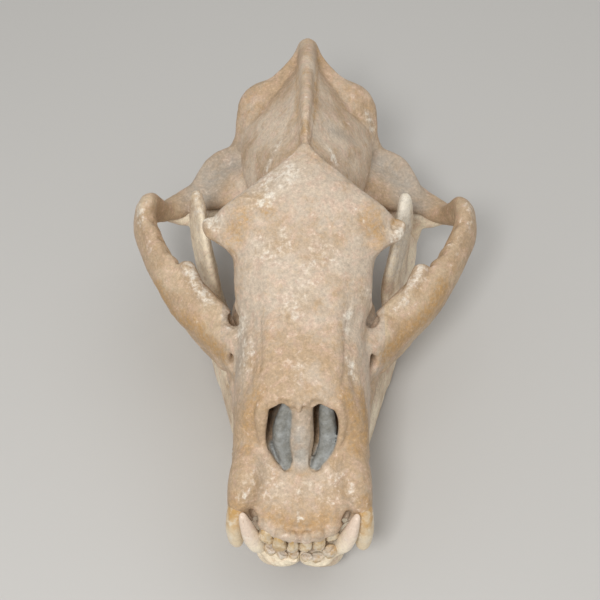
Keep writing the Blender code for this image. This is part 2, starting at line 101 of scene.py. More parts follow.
def deselect():
    bpy.ops.object.select_all(action="DESELECT")


def only(piece):
    deselect()
    piece.select_set(True)
    bpy.context.view_layer.objects.active = piece


def finished(piece, kind, **settings):
    """Adds a modifier and applies it."""
    only(piece)
    modifier = piece.modifiers.new(kind.title(), kind)
    for name, value in settings.items():
        setattr(modifier, name, value)
    bpy.ops.object.modifier_apply(modifier=modifier.name)


def switch(mode):
    bpy.ops.object.mode_set(mode=mode)


def remeshed(piece):
    finished(piece, "REMESH", mode="VOXEL", voxel_size=GRAIN * MM)


def smoothed(piece, times):
    finished(piece, "SMOOTH", factor=0.5, iterations=times)


def remove(piece):
    bpy.data.objects.remove(piece)


def put_in(name, data):
    """Puts new data into the scene as an object."""
    made = bpy.data.objects.new(name, data)
    bpy.context.scene.collection.objects.link(made)
    return made


def copy_of(piece, name):
    made = piece.copy()
    made.data = piece.data.copy()
    made.name = name
    made.data.name = name
    made.parent = None
    for key in list(made.keys()):
        del made[key]
    bpy.context.scene.collection.objects.link(made)
    return made


def join(pieces, name):
    deselect()
    for piece in pieces:
        piece.select_set(True)
    bpy.context.view_layer.objects.active = pieces[0]
    if len(pieces) > 1:
        bpy.ops.object.join()
    pieces[0].name = name
    pieces[0].data.name = name
    return pieces[0]


def bone_from(nodes, name):
    """Copies solids, closes their loose triangles and grows them a little, so cuts close up."""
    copies = []
    for node in nodes:
        made = copy_of(frame["nodes"][node], "copy of " + node)
        made.data.materials.clear()
        mesh = bmesh.new()
        mesh.from_mesh(made.data)
        bmesh.ops.remove_doubles(mesh, verts=mesh.verts, dist=1e-6)
        mesh.to_mesh(made.data)
        mesh.free()
        finished(made, "DISPLACE", strength=SEAM * MM, mid_level=0.0)
        copies.append(made)
    return join(copies, name)


def piece_from(mesh, name):
    """Makes a piece of a drawn mesh."""
    data = bpy.data.meshes.new(name)
    mesh.to_mesh(data)
    mesh.free()
    return put_in(name, data)


def block(name, corners):
    """A straight block between two rings that have the same number of corners."""
    mesh = bmesh.new()
    near_ring, far_ring = ([mesh.verts.new(place(*corner)) for corner in ring] for ring in corners)
    mesh.faces.new(reversed(near_ring))
    mesh.faces.new(far_ring)
    for i in range(len(near_ring)):
        j = (i + 1) % len(near_ring)
        mesh.faces.new((near_ring[i], near_ring[j], far_ring[j], far_ring[i]))
    bmesh.ops.recalc_face_normals(mesh, faces=mesh.faces)
    return piece_from(mesh, name)


def prism(name, outline, heights):
    """A block that stands over an outline of (x, s) corners."""
    return block(name, [[(x, s, z) for x, s in outline] for z in heights])


def wedge(name, outline, reach):
    """A block that lies across the skull over an outline of (s, z) corners."""
    return block(name, [[(x, s, z) for s, z in outline] for x in (-reach, reach)])


def carve(piece, tool, way="DIFFERENCE"):
    finished(piece, "BOOLEAN", operation=way, solver="MANIFOLD", object=tool)
    remove(tool)


def ball(name, at, radii):
    deselect()
    bpy.ops.mesh.primitive_uv_sphere_add(segments=20, ring_count=12, location=place(*at))
    made = bpy.context.object
    made.name = name
    made.scale = Vector(radii) * MM
    bpy.ops.object.transform_apply()
    return made


# Working a surface by its vertices

def numbers(rows, name, width=1, kind=np.float32):
    """One property of many vertices or edges, as an array."""
    flat = np.empty(len(rows) * width, kind)
    rows.foreach_get(name, flat)
    return flat.reshape(-1, width) if width > 1 else flat


def stations_of(piece):
    stations = numbers(piece.data.vertices, "co", 3).astype(np.float64) / MM
    stations[:, 1] += MIDDLE
    return stations


def set_stations(piece, stations):
    flat = stations.copy()
    flat[:, 1] -= MIDDLE
    piece.data.vertices.foreach_set("co", (flat * MM).astype(np.float32).ravel())
    piece.data.update()


def normals_of(piece):
    return numbers(piece.data.vertex_normals, "vector", 3).astype(np.float64)


def lumps(points, size, seed=0):
    """Smooth noise from -1 to 1 whose lumps are of the given size."""
    scaled = points / size
    cell = np.floor(scaled)
    t = scaled - cell
    cell = cell.astype(np.int64)
    t = t * t * t * (t * (t * 6 - 15) + 10)
    total = np.zeros(len(points))
    for corner in range(8):
        step = np.array([corner >> 2 & 1, corner >> 1 & 1, corner & 1])
        c = cell + step
        h = c[:, 0] * 73856093 ^ c[:, 1] * 19349663 ^ c[:, 2] * 83492791 ^ (seed + 7) * 26544357
        h = (h ^ h >> 13) * 1274126177 & 0x7FFFFFFF
        h = (h ^ h >> 15) * 668265263 & 0x7FFFFFFF
        value = (h >> 7 & 0xFFFF) / 32767.5 - 1
        total += value * np.prod(np.where(step == 1, t, 1 - t), axis=1)
    return total


def rough(points, size, seed=0, octaves=3):
    """Lumps of the given size with finer and lower ones on them."""
    total = np.zeros(len(points))
    for octave in range(octaves):
        total += lumps(points, size / 2 ** octave, seed + octave) * 0.5 ** octave
    return total / 1.6


def relief(points, rows):
    """Several roughnesses together. Each row is a height and what rough takes."""
    return sum(height * rough(points, *row) for height, *row in rows)


def smooth_step(values, low, high):
    t = np.clip((values - low) / (high - low), 0, 1)
    return t * t * (3 - 2 * t)


def course(points, step=1.5):
    """A smooth course of close points through the given ones."""
    keys = [np.array(p, float) for p in points]
    keys = [2 * keys[0] - keys[1], *keys, 2 * keys[-1] - keys[-2]]
    made = []
    for a, b, c, d in zip(keys, keys[1:], keys[2:], keys[3:]):
        count = max(1, int(np.linalg.norm((c - b)[:3]) / step))
        for i in range(count):
            t = i / count
            made.append(0.5 * (2 * b + (c - a) * t + (2 * a - 5 * b + 4 * c - d) * t * t
                               + (3 * b - a - 3 * c + d) * t * t * t))
    made.append(keys[-2])
    return np.array(made)


def near(stations, path, width):
    """How near each vertex is to a path: 1 on it, 0 at its width and beyond. Width can vary."""
    path = np.asarray(path, float)
    widths = path[:, 3] if path.shape[1] > 3 else np.full(len(path), float(width))
    path = path[:, :3]
    reach = widths.max()
    inside = np.all((stations > path.min(0) - reach) & (stations < path.max(0) + reach), axis=1)
    rows = np.nonzero(inside)[0]
    made = np.zeros(len(stations))
    for start in range(0, len(rows), 20000):
        some = rows[start:start + 20000]
        gaps = np.linalg.norm(stations[some, None, :] - path[None, :, :], axis=2) / widths
        best = np.clip(1 - gaps.min(1) ** 2, 0, 1)
        made[some] = best * best
    return made


def mirrored(points, side):
    """Points on the left, as they are or on the right."""
    return [(side * p[0], *p[1:]) for p in points]


def chain(name, points):
    """A run of balls through points of (x, s, z, radius), to thicken or hollow a bone."""
    mesh = bmesh.new()
    for x, s, z, radius in course(points):
        bmesh.ops.create_icosphere(mesh, subdivisions=2, radius=radius * MM,
                                   matrix=Matrix.Translation(place(x, s, z)))
    return piece_from(mesh, name)


class Surface:
    """A bone's vertices while strokes move them along their normals."""

    def __init__(self, piece):
        self.piece = piece
        self.stations = stations_of(piece)
        self.normals = normals_of(piece)
        self.tree = BVHTree.FromObject(piece, bpy.context.evaluated_depsgraph_get())

    def laid(self, points):
        """A course whose points lie on the surface."""
        made = []
        for point in course(points):
            spot = self.tree.find_nearest(place(*point[:3]))[0] / MM
            made.append((spot.x, spot.y + MIDDLE, spot.z, *point[3:]))
        return np.array(made)

    def stroke(self, points, width, height):
        weight = near(self.stations, self.laid(points), width)
        self.stations += self.normals * (weight * height)[:, None]

    def move(self, amount):
        self.stations += self.normals * amount[:, None]

    def done(self):
        set_stations(self.piece, self.stations)


def within_solids(piece, low, high):
    """Keeps a bone inside the box of the solids it stands for."""
    low, high = (np.array(corner) / MM + (0, MIDDLE, 0) for corner in (low, high))
    set_stations(piece, np.clip(stations_of(piece), low, high))


# Cranium. Blocks that cut its crowns away, so that teeth can be set: a plan (x, s) and two heights

CROWNS = (((-62, -20), (62, -20), (62, 206), (-62, 206)), (30, 74.5))
FRONT_CROWNS = (((-30, -20), (30, -20), (30, 15), (-30, 15)), (30, 77.5))

# Balls and runs of balls that cut into it or are added to it: x, s, z and radius
NASAL_NOTCHES = ((-13.5, 65.5, 147.5, 8.5), (10.5, 65.5, 147.5, 8.5))
NASAL_TIP = ((-1.5, 82, 151, 5), (-1.5, 75, 148.5, 4), (-1.5, 70, 145.5, 2.6), (-1.5, 68, 143, 1.5))
NOSTRIL_POINT = ((15, 62, 116, 9), (13, 57, 110, 8), (11.5, 52, 106, 6.5), (10, 48, 104, 4.5),
                 (9, 45, 103, 2.5))
NOSE_COLUMN = ((0, 76, 138, 6.5), (0, 70.5, 128, 8.6), (0, 66, 120, 9.6), (0, 62, 113, 9.4),
               (0, 58, 107, 8))
NOSE_SCROLLS = (
    ((-9.5, 77, 138, 3.6), (-12, 72, 130, 5.2), (-14, 67, 121, 6.4), (-14, 62, 113, 6),
     (-12, 56.5, 106, 4.6), (-10, 51, 103.5, 3.2), (-9, 47, 102.5, 2)),
    ((17, 78, 134, 5), (18, 73, 128, 6.2), (18.5, 68, 121, 6.4), (17.5, 62, 113, 5.8),
     (14.5, 56, 106, 4.6), (11, 51, 103.5, 3.2), (9.5, 47, 102.5, 2)),
)
NOSE_WALLS = (
    ((-23, 77, 145, 3.2), (-26, 73.5, 141, 4.8), (-27, 69.5, 135, 5), (-27, 65, 128, 4.2),
     (-26.5, 60, 120, 3.4), (-24.5, 55.5, 113, 2.8), (-20, 51, 107, 2.4), (-15, 47, 103.5, 1.5)),
    ((22, 77, 145, 3.2), (25.5, 73.5, 141, 4.2), (28, 69, 134, 3.4), (28, 64, 126, 2.8),
     (26, 58, 117, 2.4), (21, 52, 108, 2), (16, 48, 104, 1.4)),
)
CREST_SIDE = ((2.0, 268, 204, 2.4), (2.8, 290, 201, 3.2), (3.6, 315, 197.5, 3.8),
              (4.2, 345, 192.5, 4.2), (4.4, 375, 185, 4.4), (4, 390, 180.5, 4))
FACE_FILL = ((-45, 129, 122, 4), (-46, 124, 118, 4), (-46.5, 118, 113, 4))
BROW_NECK = ((72, 193, 166, 6), (62, 188, 167, 6.5), (56, 181, 167, 5))
EYE_PITS = ((50, 164, 118, 7), (49, 158, 122, 8))
BROW_KNOB = ((68, 207, 172, 6.5), (65, 202, 172, 6.5), (56, 201, 174, 5))
CHEEK_THUMB = ((88, 201, 131, 6.5), (81, 188, 127.5, 6), (74, 177, 125, 5.5), (67, 168, 123, 5),
               (60, 160, 122, 4.5))
CANINE_WALL = ((30, 33, 86, 6), (35, 35, 82, 7), (39, 38, 81, 7))
FACE_HOLE = ((48.5, 129, 122, 3.2), (49.5, 124, 117, 3.2), (50.5, 118, 111.5, 2.4))
CANINE_SLOT = ((34.4, 20.5, 93.5, 1.3), (34, 24.5, 85, 2.3), (33, 19.5, 90, 2.0),
               (32.4, 24, 81, 2.8), (31.4, 18, 87.2, 2.2), (30.8, 22, 78.5, 2.8),
               (29.8, 16.2, 84.8, 2.0))
CANINE_SOCKET = ((46, 16, 73), (11, 18, 19))

# The runs that both sides have, the second mirrored
CUT_BOTH_SIDES = (("nostril point", NOSTRIL_POINT), ("eye pit", EYE_PITS), ("brow neck", BROW_NECK),
                  ("canine slot", CANINE_SLOT))
ADDED_BOTH_SIDES = (("brow knob", BROW_KNOB), ("cheek thumb", CHEEK_THUMB),
                    ("canine wall", CANINE_WALL), ("crest side", CREST_SIDE))

# How many times bone is smoothed when it is skinned from the solids, and again once it is shaped
FIRST_SMOOTHING = 16
LAST_SMOOTHING = 4


def skinned(bone, smoothing):
    remeshed(bone)
    smoothed(bone, smoothing)


def cranium():
    bone = bone_from(CRANIUM_NODES, "cranium")
    skinned(bone, FIRST_SMOOTHING)
    carve(bone, prism("crowns", *CROWNS))
    carve(bone, prism("front crowns", *FRONT_CROWNS))
    for x, s, z, radius in NASAL_NOTCHES:
        carve(bone, ball("nasal notch", (x, s, z), (radius, radius, radius * 0.9)))
    cuts = [("face hole", FACE_HOLE)]
    added = [("nasal tip", NASAL_TIP), ("nose column", NOSE_COLUMN), ("face fill", FACE_FILL)]
    added += [("nose scroll", points) for points in NOSE_SCROLLS + NOSE_WALLS]
    for side in BOTH:
        cuts += [(name, mirrored(points, side)) for name, points in CUT_BOTH_SIDES]
        added += [(name, mirrored(points, side)) for name, points in ADDED_BOTH_SIDES]
        (x, s, z), radii = CANINE_SOCKET
        carve(bone, ball("canine socket", (side * x, s, z), radii))
    for name, points in cuts:
        tool = chain(name, points)
        remeshed(tool)
        carve(bone, tool)
    bone = join([bone] + [chain(name, points) for name, points in added], "cranium")
    skinned(bone, LAST_SMOOTHING)
    return bone


def softened(piece, path, reach, times):
    """Smooths a bone near a path, and leaves the rest of it as it was."""
    soft = copy_of(piece, "soft copy")
    smoothed(soft, times)
    stations = stations_of(piece)
    share = near(stations, course(path), reach)[:, None]
    set_stations(piece, stations * (1 - share) + stations_of(soft) * share)
    remove(soft)


# Strokes that work the cranium: how far they reach, how far they raise the bone, their course

STROKES_BOTH = (
    (4.5, 1.3, ((70, 208, 174), (62, 214, 178), (52, 221, 183), (42, 228, 188), (30, 235, 195),
                (18, 242, 201), (8, 249, 206), (3, 257, 209))),
    (9, -1.0, ((40, 205, 194), (30, 222, 199), (18, 234, 203))),
    (8, -1.3, ((34, 92, 138), (33, 108, 147), (34, 126, 152), (38, 142, 152))),
    (9, 1.2, ((24, 90, 153), (24, 115, 160), (25, 140, 169), (26, 165, 180))),
    (5, 1.4, ((60, 160, 126), (54, 158, 131), (50, 160, 140))),
    (8, -2.4, ((96, 204, 122), (92, 196, 116), (84, 184, 110), (74, 173, 106), (64, 163, 104))),
    (6, 2.2, ((60, 140, 92), (70, 152, 88), (84, 166, 88), (96, 180, 91), (108, 200, 97),
              (118, 222, 104))),
    (9, 1.4, ((100, 206, 126), (112, 222, 132), (122, 240, 138), (128, 256, 141))),
    (5, -1.4, ((50, 124, 113), (49, 116, 108), (48, 108, 104), (47, 98, 101))),
    (8, 1.0, ((14, 262, 196), (24, 280, 180), (36, 300, 158), (44, 322, 136))),
    (7, -0.9, ((10, 280, 196), (22, 296, 180), (34, 314, 158), (42, 334, 138))),
    (7, 0.9, ((10, 300, 196), (22, 314, 178), (34, 330, 156), (42, 346, 136))),
    (7, -1.0, ((12, 330, 188), (24, 340, 168), (36, 350, 148), (44, 356, 128))),
    (4, 1.2, ((10, 395, 181), (18, 386, 174), (29, 379, 168), (42, 379, 162), (51, 374, 150),
              (55, 366, 134), (57, 358, 118))),
)
STROKES_LEFT = (
    (3.5, -1.6, ((69, 206, 178), (65, 203, 180))),
    (4, -0.8, ((29, 88, 148), (31, 104, 151), (30.5, 122, 156), (33, 138, 158), (32, 150, 163))),
    (3, -0.9, ((42, 100, 128), (43, 92, 122), (44, 82, 116), (45, 74, 112))),
)
STROKES_RIGHT = (
    (3, -0.8, ((-28, 96, 150), (-29, 116, 155), (-30, 132, 158))),
    (2.5, 0.9, ((-57, 150, 131), (-51, 146, 138), (-47, 141, 143), (-46, 130, 141))),
)
SOFT_CHEEK = ((24, 44, 110), (28, 36, 105), (31, 27, 98), (33, 20, 92))
MIDLINE = ((0, 3, 80), (0, 8, 88), (0, 18, 93), (0, 30, 100))

# Bites in the inner edges of the arches: x, s, z and reach
ARCH_BITES = ((126, 244, 143, 6), (117, 229, 138, 4), (112, 219, 136, 6.5), (103, 206, 131, 4))
BITE_DEPTH = 2.0

# The upper cheek teeth, from the front: x, s, length, breadth and turn
UPPER_CHEEK = ((37, 66, 6, 5, 8), (44, 128, 17, 11, 10), (47, 151, 23, 16, 4), (45, 184, 39, 18, -6))

# Roots that swell the bone over the teeth. In front: x, s and z below, and s and z above
FRONT_ROOTS = ((4.6, 6, 84, 10, 94), (13.5, 8.5, 84, 15, 93), (22.5, 14, 84, 26, 92))
CHEEK_ROOT_HEIGHTS = (78, 92)
ROOT_SWELL = 0.9

# Rows of height, lump size, seed and, where it isn't three, octaves
CRANIUM_RELIEF = ((0.55, 30, 3), (0.26, 8, 11), (0.17, 3.5, 17, 2))
ARCH_RELIEF = (0.45, 6, 23)
JAW_RELIEF = ((0.45, 26, 5), (0.25, 8, 13), (0.14, 3.5, 19, 2))


def work_cranium(bone):
    for side in BOTH:
        softened(bone, mirrored(SOFT_CHEEK, side), reach=17, times=90)
    surface = Surface(bone)
    for side, own in ((LEFT, STROKES_LEFT), (RIGHT, STROKES_RIGHT)):
        for reach, raised, points in STROKES_BOTH:
            surface.stroke(mirrored(points, side), reach, raised)
        for reach, raised, points in own:
            surface.stroke(points, reach, raised)
        for x, s, z, reach in ARCH_BITES:
            bite = ((x - 6, s, z - 3), (x - 9, s - 1, z - 8))
            surface.stroke(mirrored(bite, side), reach, -BITE_DEPTH)
        for x, s, z, back, top in FRONT_ROOTS:
            surface.stroke(mirrored(((x, s, z), (x, back, top)), side), 4, ROOT_SWELL)
        low, high = CHEEK_ROOT_HEIGHTS
        for x, s, length, breadth, turn in UPPER_CHEEK:
            for shift in (-0.3, 0.3):
                at = s + shift * length
                root = ((x + breadth * 0.5, at, low), (x + breadth * 0.4, at, high))
                surface.stroke(mirrored(root, side), length * 0.28, ROOT_SWELL)
    surface.stroke(MIDLINE, 2.2, -0.8)
    at = surface.stations
    arch = np.clip((np.abs(at[:, 0]) - 62) / 20, 0, 1)
    under = np.clip(-surface.normals[:, 2] * 1.2 + 0.2, 0, 1)
    height, size, seed = ARCH_RELIEF
    surface.move(relief(at, CRANIUM_RELIEF) + height * arch * under * rough(at, size, seed))
    surface.done()


def hollows_of(piece, times=14):
    """How far each vertex lies below its surroundings, in millimetres. Ridges are negative."""
    soft = copy_of(piece, "soft copy")
    smoothed(soft, times)
    depth = np.einsum("ij,ij->i", stations_of(soft) - stations_of(piece), normals_of(piece))
    remove(soft)
    return depth


def keep_mask(piece, name, values):
    """Stores one number for each vertex, for a material to read."""
    if name not in piece.data.attributes:
        piece.data.attributes.new(name, "FLOAT", "POINT")
    piece.data.attributes[name].data.foreach_set("value", values.astype(np.float32))


def mask_of(piece, name):
    return numbers(piece.data.attributes[name].data, "value").astype(np.float64)


def mend_mask(piece, name, mark):
    """Gives the vertices that a cut made, whose mark is nothing, their neighbours' value."""
    known = mask_of(piece, mark) > 0.5
    values = mask_of(piece, name)
    ends = numbers(piece.data.edges, "vertices", 2, np.int64)
    for a, b in ((ends[:, 0], ends[:, 1]), (ends[:, 1], ends[:, 0])):
        use = known[b] & ~known[a]
        total = np.bincount(a[use], values[b[use]], len(values))
        count = np.bincount(a[use], minlength=len(values))
        values = np.where(count > 0, total / np.maximum(count, 1), values)
    keep_mask(piece, name, values)


def without_crumbs(piece):
    """Deletes the loose bits that a cut can leave beside a piece's main shell."""
    only(piece)
    switch("EDIT")
    bpy.ops.mesh.select_mode(type="VERT")
    bpy.ops.mesh.select_all(action="DESELECT")
    switch("OBJECT")
    highest = int(np.argmax(stations_of(piece)[:, 2]))
    piece.data.vertices[highest].select = True
    switch("EDIT")
    bpy.ops.mesh.select_linked()
    bpy.ops.mesh.select_all(action="INVERT")
    bpy.ops.mesh.delete(type="VERT")
    switch("OBJECT")


# Where the cranium parts into its bones: a place (s, z) and the slope (back, rise) of each cut
BONE_CUTS = ((186, 123, 72, -114), (243, 151, 30, 122), (352, 138, 40, 125))
CUT_LEVELS = (20, 260)
CUT_REACH = 160
SKULL_ENDS = (-80, 480)

# The region of an arch, as a plan (x, s) and two heights
ARCH_REGION = (((60, 96), (200, 96), (200, 350), (103, 350), (103, 262), (60, 262)), (-20, 150))


def arch_region(side):
    outline, heights = ARCH_REGION
    return prism("arch region", mirrored(outline, side), heights)


def bones_of(whole):
    """Parts the worked cranium at its cuts into the bones, each a closed piece."""
    keep_mask(whole, "hollow", hollows_of(whole))
    keep_mask(whole, "kept", np.ones(len(whole.data.vertices)))
    made = {}
    for side in BOTH:
        name = "arch_bone_" + SIDE_NAMES[side]
        made[name] = copy_of(whole, name)
        carve(made[name], arch_region(side), "INTERSECT")
    for side in BOTH:
        carve(whole, arch_region(side))
    front, back = ([(s, level) for level in CUT_LEVELS] for s in SKULL_ENDS)
    edges = [front]
    for s, z, run, rise in BONE_CUTS:
        edges.append([(s + (level - z) * run / rise, level) for level in CUT_LEVELS])
    edges.append(back)
    names = ("snout_bone", "forehead_bone", "braincase_bone", "occiput_bone")
    for name, front, back in zip(names, edges, edges[1:]):
        made[name] = copy_of(whole, name)
        outline = (front[0], back[0], back[1], front[1])
        carve(made[name], wedge("region", outline, CUT_REACH), "INTERSECT")
    remove(whole)
    for piece in made.values():
        without_crumbs(piece)
        mend_mask(piece, "hollow", "kept")
        piece.data.attributes.remove(piece.data.attributes["kept"])
    return made


# Lower jaw

# The block that cuts the crowns away, and the small holes in the side of the chin
JAW_CROWNS = (((-5, -20), (60.5, -20), (60.5, 197), (-5, 197)), (58, 120))
CHIN_HOLES = ((30, 62, 34, 2.2), (38, 88, 33, 1.8), (41, 100, 36, 1.3))

# Strokes, as for the cranium
JAW_STROKES = (
    (10, 1.0, ((34, 90, 20), (46, 130, 16), (58, 170, 18), (68, 200, 22))),
    (8, 1.2, ((74, 214, 60), (78, 226, 90), (80, 240, 120), (82, 252, 142))),
    (8, -0.9, ((40, 110, 42), (50, 140, 44), (60, 170, 46))),
    (5, 1.0, ((24, 22, 44), (26, 34, 38), (26, 46, 34))),
    (15, 2.6, ((87, 262, 146), (87, 256, 128), (87, 248, 108), (86, 240, 88))),
    (15, -6.5, ((20, 2, 36), (27, 7, 38), (33, 15, 40), (36, 26, 40))),
    (9, -2.8, ((15, 0, 54), (21, 3, 56), (27, 7, 60))),
    (8, -1.6, ((4, -2, 54), (10, -2, 54))),
)
SOFT_CHIN = ((6, 4, 44), (16, 5, 44), (25, 9, 45), (32, 17, 45), (36, 28, 44))
CORONOID_LEAN = 6.5  # how far the left coronoid process leans inward
JAW_SEAM = 0.03  # half the gap between the halves
FLAT_BELOW = 0.8  # lower than this the jaw rests flat on the floor
CHIN_SEAM = ((2.6, 5.2, 57, 3.4), (2.6, 5.0, 49, 3.4), (2.6, 9.5, 40, 3.4), (2.6, 15, 32, 3.4))


def half_jaw(side):
    name = "mandible_" + SIDE_NAMES[side]
    low, high = (Vector(corner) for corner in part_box(name))
    if side == LEFT:
        low.x = JAW_SEAM * MM
    else:
        high.x = -JAW_SEAM * MM
    bone = bone_from((name,), "jaw_bone_" + SIDE_NAMES[side])
    skinned(bone, FIRST_SMOOTHING)
    outline, heights = JAW_CROWNS
    carve(bone, prism("crowns", mirrored(outline, side), heights))
    for x, s, z, radius in CHIN_HOLES:
        carve(bone, ball("chin hole", (side * x, s, z), (radius * 1.6, radius * 1.5, radius)))
    bone = join([bone, chain("chin seam", mirrored(CHIN_SEAM, side))], bone.name)
    skinned(bone, LAST_SMOOTHING)
    surface = Surface(bone)
    for reach, raised, points in JAW_STROKES:
        surface.stroke(mirrored(points, side), reach, raised)
    surface.done()
    softened(bone, mirrored(SOFT_CHIN, side), reach=18, times=60)
    if side == LEFT:
        at = stations_of(bone)
        at[:, 0] -= CORONOID_LEAN * smooth_step(at[:, 2], 62, 95) * smooth_step(at[:, 1], 288, 266)
        set_stations(bone, at)
    surface = Surface(bone)
    surface.move(relief(surface.stations, JAW_RELIEF))
    surface.done()
    at = stations_of(bone)
    at[:, 2] = np.where(at[:, 2] < FLAT_BELOW, 0.0, at[:, 2])
    set_stations(bone, at)
    within_solids(bone, low, high)
    keep_mask(bone, "hollow", hollows_of(bone))
    return bone


# Teeth. Rings of the canines, from the root: x, s, z and the half widths across and along

UPPER_CANINE = ((40, 36, 104, 5, 8), (42.2, 28, 95, 6.3, 10), (43.8, 23.5, 86, 6.8, 10.4),
                (44.9, 19.8, 77, 6.8, 9.8), (45.2, 17, 69, 6.5, 8.6), (44.8, 15, 62.5, 6.0, 7.2),
                (44.4, 14, 58.6, 5.5, 6.3), (44.2, 13.6, 57.2, 4.8, 5.4), (44.1, 13.6, 56.8, 3.2, 3.6))
LOWER_CANINE = ((26, 20, 46, 5.6, 8.6), (28, 14.5, 55, 6.4, 8.8), (30.4, 11, 63, 6.6, 8.6),
                (32.8, 10, 71, 6.3, 7.8), (35.2, 10.6, 80, 5.4, 6.4), (37.2, 12.4, 88, 4.2, 4.8),
                (38.5, 14, 94, 2.9, 3.3), (39, 14.8, 96.6, 1.7, 2.0))
CANINE_TIP = 60  # the level below which the upper right canine is chipped
CHIP = 1.4

# Incisors: x, s, breadth, turn and the level of the bite, for each from the middle
UPPER_INCISORS = ((4.6, 4.6, 8.2, 90, 65.8), (13.6, 6.6, 8.8, 74, 65.4), (22.6, 11.8, 10.4, 52, 67.6))
LOWER_INCISORS = ((4.2, 2.2, 7.0, 90, 62.8), (12.2, 3.2, 8.2, 76, 62.0), (20.8, 6.6, 9.2, 58, 63.8))

# Cheek teeth: x, s, length, breadth and turn, for each from the front
LOWER_CHEEK = ((33, 78, 6, 5, 20), (41, 119, 13, 8, 15), (44, 141, 24, 11, 10),
               (48, 166, 25, 14, 12), (53, 188, 17, 13, 15))

# Rows of teeth: the jaw, its teeth, the level of the gum, of the bite for cheek teeth, and a seed
INCISOR_ROWS = (("upper", UPPER_INCISORS, 77.0, 40), ("lower", LOWER_INCISORS, 56.5, 60))
CHEEK_ROWS = (("upper", UPPER_CHEEK, 75.0, 66.2, 80), ("lower", LOWER_CHEEK, 57.5, 65.8, 90))
ROOT_DEPTH = 5  # how far a cheek tooth goes on beyond the gum


def tooth(name, rings, turn=0.0, cut=16):
    """Draws a tooth out of a disc, ring by ring from its root to its tip, and turns it in plan."""
    deselect()
    start = place(*rings[0][:3])
    bpy.ops.mesh.primitive_circle_add(vertices=cut, radius=MM, fill_type="NGON", location=start)
    made = bpy.context.object
    made.name = name
    bpy.ops.object.transform_apply()
    switch("EDIT")
    bpy.ops.mesh.select_all(action="SELECT")
    bpy.ops.transform.resize(value=(rings[0][3], rings[0][4], 1), center_override=start)
    for before, after in zip(rings, rings[1:]):
        step = place(*after[:3]) - place(*before[:3])
        bpy.ops.mesh.extrude_region_move(TRANSFORM_OT_translate={"value": step})
        ratio = (after[3] / before[3], after[4] / before[4], 1)
        bpy.ops.transform.resize(value=ratio, center_override=place(*after[:3]))
    bpy.ops.mesh.select_all(action="SELECT")
    bpy.ops.mesh.normals_make_consistent(inside=False)
    switch("OBJECT")
    turned(made, turn, rings[-1][0], rings[-1][1])
    finished(made, "SUBSURF", levels=2, render_levels=2)
    return made


def turned(piece, turn, x, s):
    """Turns a piece in plan about an upright line."""
    pin = Matrix.Translation(place(x, s, 0))
    piece.data.transform(pin @ Matrix.Rotation(math.radians(turn), 4, "Z") @ pin.inverted())


def worn(piece, amount, size, seed):
    """Chips and wears a tooth's surface."""
    stations = stations_of(piece)
    set_stations(piece, stations + normals_of(piece) * (amount * rough(stations, size, seed))[:, None])


def canine(name, rings, side, seed):
    made = tooth(name, mirrored(rings, side))
    worn(made, 0.35, 6, seed)
    return made


def incisor(name, x, s, breadth, turn, side, gum, bite, seed):
    """A low worn crown on a narrower neck. Breadth lies along the row of teeth."""
    up = math.copysign(1, bite - gum)
    half = breadth / 2 * (1 + 0.1 * math.sin(seed * 1.7))
    bite += 1.1 * math.sin(seed * 3.1)
    s += 0.8 * math.sin(seed * 4.3)
    turn += 9 * math.sin(seed * 2.3)
    lean = 1.0 * math.sin(seed * 2.4)
    rings = ((x, s + 2, gum - up * 6, half * 0.7, half * 0.85),
             (x, s + 1, gum - up * 1, half * 0.84, half * 0.95),
             (x, s, gum + up * 3, half * 1.04, half * 0.95),
             (x + lean * 0.5, s - 0.5, bite - up * 2.4, half * 1.16, half * 0.84),
             (x + lean, s - 0.4, bite - up * 0.8, half * 1.14, half * 0.7),
             (x + lean, s - 0.2, bite - up * 0.1, half * 1.0, half * 0.56),
             (x + lean, s, bite - up * 0.4, half * 0.6, half * 0.3))
    made = tooth(name, mirrored(rings, side), side * (90 - turn), 12)
    worn(made, 0.9, 5, seed)
    worn(made, 0.45, 2.2, seed + 7)
    return made


def cheek_tooth(name, x, s, length, breadth, turn, side, gum, bite, seed):
    """A long low crown whose cusps stand along its outer and inner edges."""
    up = math.copysign(1, bite - gum)
    deselect()
    root = gum - up * ROOT_DEPTH
    middle = (root + bite) / 2
    bpy.ops.mesh.primitive_cube_add(size=1, location=place(side * x, s, middle))
    made = bpy.context.object
    made.name = name
    made.scale = Vector((breadth, length, abs(bite - gum) + ROOT_DEPTH)) * MM
    bpy.ops.object.transform_apply()
    switch("EDIT")
    bpy.ops.mesh.select_all(action="SELECT")
    bpy.ops.mesh.subdivide(number_cuts=5, smoothness=0)
    switch("OBJECT")
    stations = stations_of(made)
    u = (stations[:, 0] - side * x) / breadth * 2
    v = (stations[:, 1] - s) / length * 2
    w = (stations[:, 2] - root) / (bite - gum + up * ROOT_DEPTH)
    corner = np.maximum(0, np.abs(u) + np.abs(v) - 1)
    swell = 1 + 0.12 * np.sin(np.clip(w, 0, 1) * math.pi) - 0.28 * corner ** 1.5
    stations[:, 0] = side * x + u * breadth / 2 * swell
    stations[:, 1] = s + v * length / 2 * swell
    cusps = max(1, round(length / 9))
    crests = 0.5 + 0.5 * np.cos((v + 1) * math.pi * cusps)
    edges = np.abs(u) ** 1.5
    drop = (1 - edges) * 2.2 + crests * 1.6 + 0.6 * lumps(stations, 5, seed)
    stations[:, 2] -= up * np.where(w > 0.9, np.maximum(0, drop), 0)
    set_stations(made, stations)
    turned(made, -side * turn, side * x, s)
    finished(made, "SUBSURF", levels=2, render_levels=2)
    worn(made, 0.25, 4, seed)
    return made


